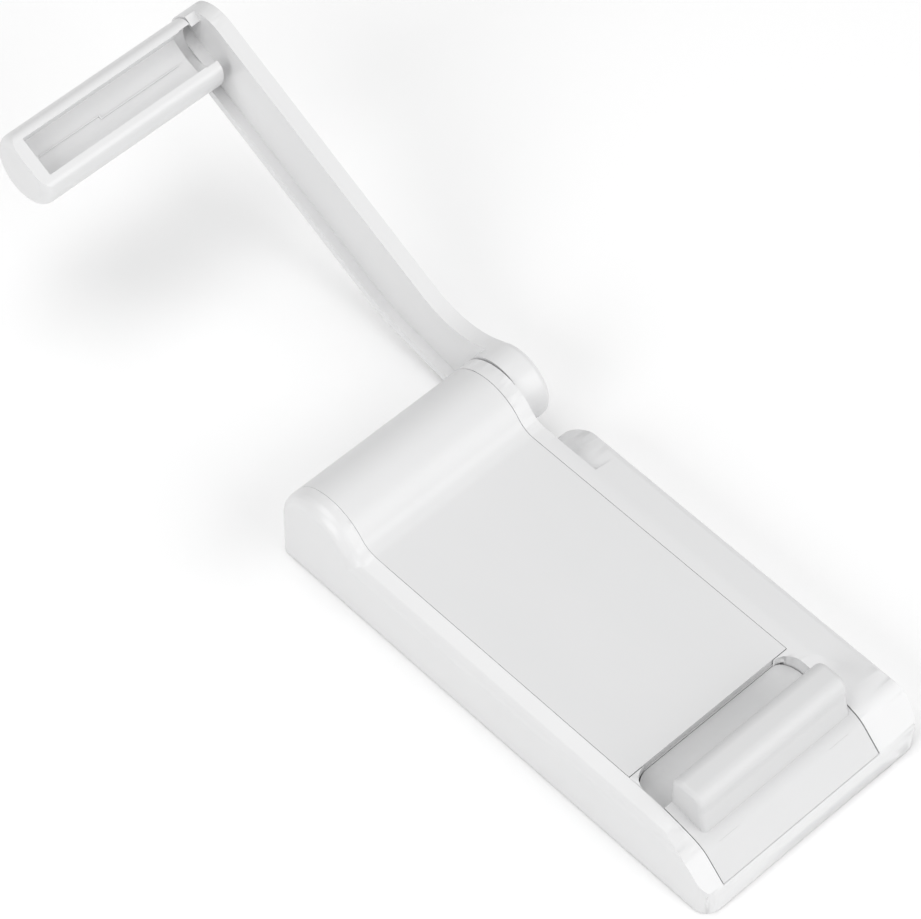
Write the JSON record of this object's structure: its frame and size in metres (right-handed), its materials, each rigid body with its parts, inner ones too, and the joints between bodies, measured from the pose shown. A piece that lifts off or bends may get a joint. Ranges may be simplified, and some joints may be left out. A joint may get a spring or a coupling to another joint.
{
  "type": "window lever operator",
  "caption": "Surface-mounted window operator: wide white housing with a barrel, fold-over lever with a trough grip that snaps over a catch bar, and a pinion-driven sash bolt.",
  "frame": {"origin": "on the mounting face, directly under the lever's axis, at the middle of the housing's width", "axes": "+X along the barrel towards the lever, +Y from the front edge towards the barrel end, +Z out of the mounting face"},
  "size_m": [0.067, 0.238, 0.0601],
  "materials": {
    "housing_white": "glossy moulded white",
    "cover_white": "glossy moulded white",
    "catch_white": "satin moulded white",
    "lever_white": "glossy moulded white",
    "grip_white": "glossy moulded white",
    "zinc_steel": "zinc-plated sheet steel",
    "shaft_steel": "drawn bright steel",
    "gear_brass": "machined brass",
    "bolt_steel": "sintered steel, lightly oiled",
    "acetal_grey": "moulded acetal",
    "acetal_natural": "moulded acetal, natural",
    "spring_steel": "blued spring steel",
    "screw_steel": "zinc-plated screw"
  },
  "bodies": {
    "body": {"housing": "housing_white", "cover_panel": "cover_white", "catch_insert": "catch_white", "base_plate": "zinc_steel", "bolt_guide": "acetal_grey", "bush_left": "acetal_natural", "bush_right": "acetal_natural", "thrust_washer": "acetal_grey", "housing_screws": "screw_steel", "insert_screws": "screw_steel", "guide_screws": "screw_steel"},
    "lever": {"crank_arm": "lever_white", "handle_grip": "grip_white", "drive_shaft": "shaft_steel", "pinion": "gear_brass", "roll_pin": "spring_steel", "hub_screw": "screw_steel", "grip_screws": "screw_steel", "backing_washer": "shaft_steel", "spring_washer": "spring_steel", "circlip": "spring_steel"},
    "bolt": {"bolt_rack": "bolt_steel"}
  },
  "joints": [
    {"name": "lever_swing", "type": "hinge", "parent": "body", "child": "lever", "pos_m": [0, 0, 0.0125], "axis": [1, 0, 0], "range_deg": [-10, 152.3]},
    {"name": "bolt_slide", "type": "slide", "parent": "body", "child": "bolt", "axis": [0, 1, 0], "range_m": [-0.00112, 0.01602]}
  ],
  "couplings": [
    {"joint": "bolt_slide", "follows": "lever_swing", "m_per_rad": 0.006}
  ]
}
